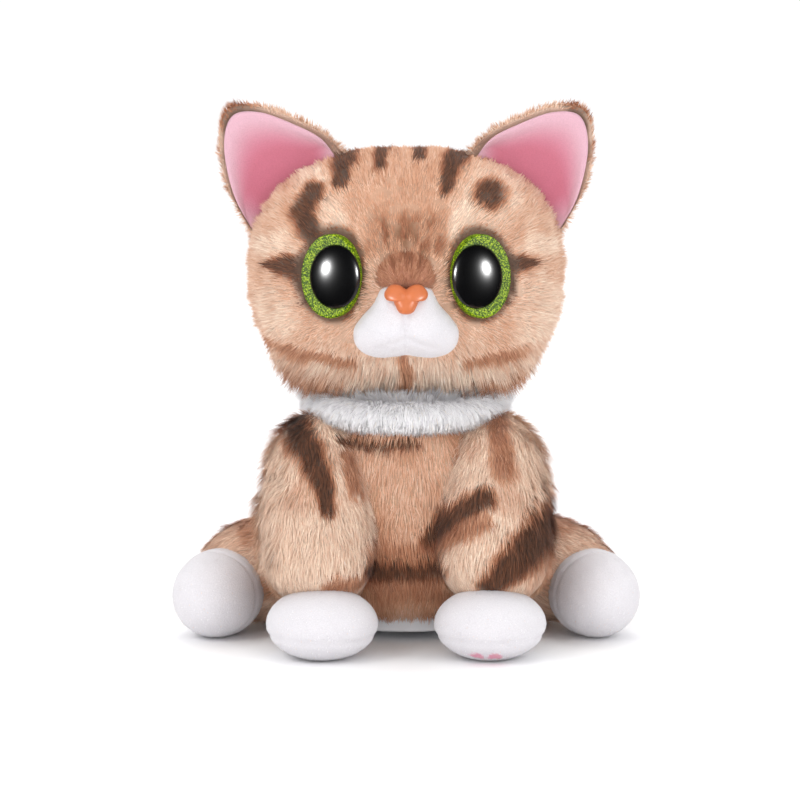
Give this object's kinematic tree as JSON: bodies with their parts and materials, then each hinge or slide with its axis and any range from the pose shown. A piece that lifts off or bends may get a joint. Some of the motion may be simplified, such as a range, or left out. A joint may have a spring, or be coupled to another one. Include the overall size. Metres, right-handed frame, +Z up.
{
  "type": "interactive plush pet",
  "caption": "Seated tabby kitten soft toy with white paws, a ruff and glitter eyes, holding a sound and purr module with touch switches, a speaker and a battery tray.",
  "frame": {"origin": "on the floor plane, under the middle of the toy's overall box", "axes": "+Z up, the face looks towards -Y, +X to the kitten's own left"},
  "size_m": [0.2018, 0.1688, 0.2311],
  "materials": {
    "tan_plush": "short dense fur, combed, tan with brown tabby markings",
    "white_plush": "very short white minky pile",
    "pink_velour": "smooth pink velour",
    "rose_pile": "short pink-brown pile",
    "stuffing": "loose polyester fibre",
    "label_cloth": "blank woven satin",
    "nose_plastic": "glossy moulded orange",
    "iris_glitter": "green glitter under a clear skin",
    "pupil_black": "polished black dome",
    "white_plastic": "fine satin texture",
    "grey_plastic": "fine satin texture",
    "black_plastic": "satin",
    "rubber": "matt",
    "steel": "bright zinc plate",
    "cell_steel": "plain battery can",
    "board_green": "solder-masked fibreglass",
    "magnet": "plated",
    "paper": "pressed paper cone",
    "wire_red": "PVC insulation"
  },
  "bodies": {
    "torso": {"base_tray": "white_plastic", "batteries": "cell_steel", "battery_contacts": "steel", "body_wires": "wire_red", "care_label": "label_cloth", "case_screws": "steel", "circuit_board": "board_green", "front_leg_left": "tan_plush", "front_leg_right": "tan_plush", "front_limb_stuffing_left": "stuffing", "front_limb_stuffing_right": "stuffing", "front_paw_left": "white_plush", "front_paw_right": "white_plush", "hind_foot_left": "white_plush", "hind_foot_right": "white_plush", "hind_leg_left": "tan_plush", "hind_leg_right": "tan_plush", "hind_limb_stuffing_left": "stuffing", "hind_limb_stuffing_right": "stuffing", "module_cover": "grey_plastic", "neck_ruff": "white_plush", "power_switch_body": "black_plastic", "purr_motor": "steel", "purr_motor_bracket": "black_plastic", "rubber_feet": "rubber", "sound_chip": "black_plastic", "speaker_basket": "steel", "speaker_cone": "paper", "speaker_magnet": "magnet", "torso_cover": "tan_plush", "torso_stuffing": "stuffing"},
    "head": {"ear_left_back": "tan_plush", "ear_left_lining": "pink_velour", "ear_right_back": "tan_plush", "ear_right_lining": "pink_velour", "eye_left_iris": "iris_glitter", "eye_left_pupil": "pupil_black", "eye_left_washer": "white_plastic", "eye_right_iris": "iris_glitter", "eye_right_pupil": "pupil_black", "eye_right_washer": "white_plastic", "head_cover": "tan_plush", "head_stuffing": "stuffing", "mouth_switch_case": "grey_plastic", "mouth_switch_spring": "steel", "mouth_switch_wires": "wire_red", "muzzle_pad": "white_plush", "nose": "nose_plastic", "nose_bridge_panel": "rose_pile", "pat_switch_case": "grey_plastic", "pat_switch_spring": "steel", "pat_switch_wires": "wire_red"},
    "mouth_button": {"mouth_switch_button": "black_plastic"},
    "pat_button": {"pat_switch_button": "black_plastic"},
    "slider": {"power_slider": "black_plastic"},
    "battery_door": {"battery_door": "white_plastic", "battery_door_screw": "steel"},
    "purr_rotor": {"purr_motor_shaft": "steel", "purr_weight": "steel"},
    "tail": {"tail": "tan_plush"}
  },
  "joints": [
    {"name": "head_turn", "type": "hinge", "parent": "torso", "child": "head", "pos_m": [0, -0.004, 0.1045], "axis": [0, 0, 1], "range_deg": [-25, 25], "stiffness_Nm_per_rad": 0.35},
    {"name": "mouth_press", "type": "slide", "parent": "head", "child": "mouth_button", "axis": [0, 1, 0], "range_m": [0, 0.0015], "stiffness_N_per_m": 400, "deforming": ["mouth_switch_spring"]},
    {"name": "pat_press", "type": "slide", "parent": "head", "child": "pat_button", "axis": [0, 0, -1], "range_m": [0, 0.0015], "stiffness_N_per_m": 400, "deforming": ["pat_switch_spring"]},
    {"name": "power_slide", "type": "slide", "parent": "torso", "child": "slider", "axis": [1, 0, 0], "range_m": [0, 0.004]},
    {"name": "battery_door_hinge", "type": "hinge", "parent": "torso", "child": "battery_door", "pos_m": [0, 0.0325, 0.0055], "axis": [1, 0, 0], "range_deg": [0, 100]},
    {"name": "purr_spin", "type": "hinge", "parent": "torso", "child": "purr_rotor", "pos_m": [0, 0.037, 0.031], "axis": [1, 0, 0], "continuous": true},
    {"name": "tail_swing", "type": "hinge", "parent": "torso", "child": "tail", "pos_m": [-0.004, 0.0735, 0.0087], "axis": [0, 0, 1], "range_deg": [-6, 50]}
  ]
}
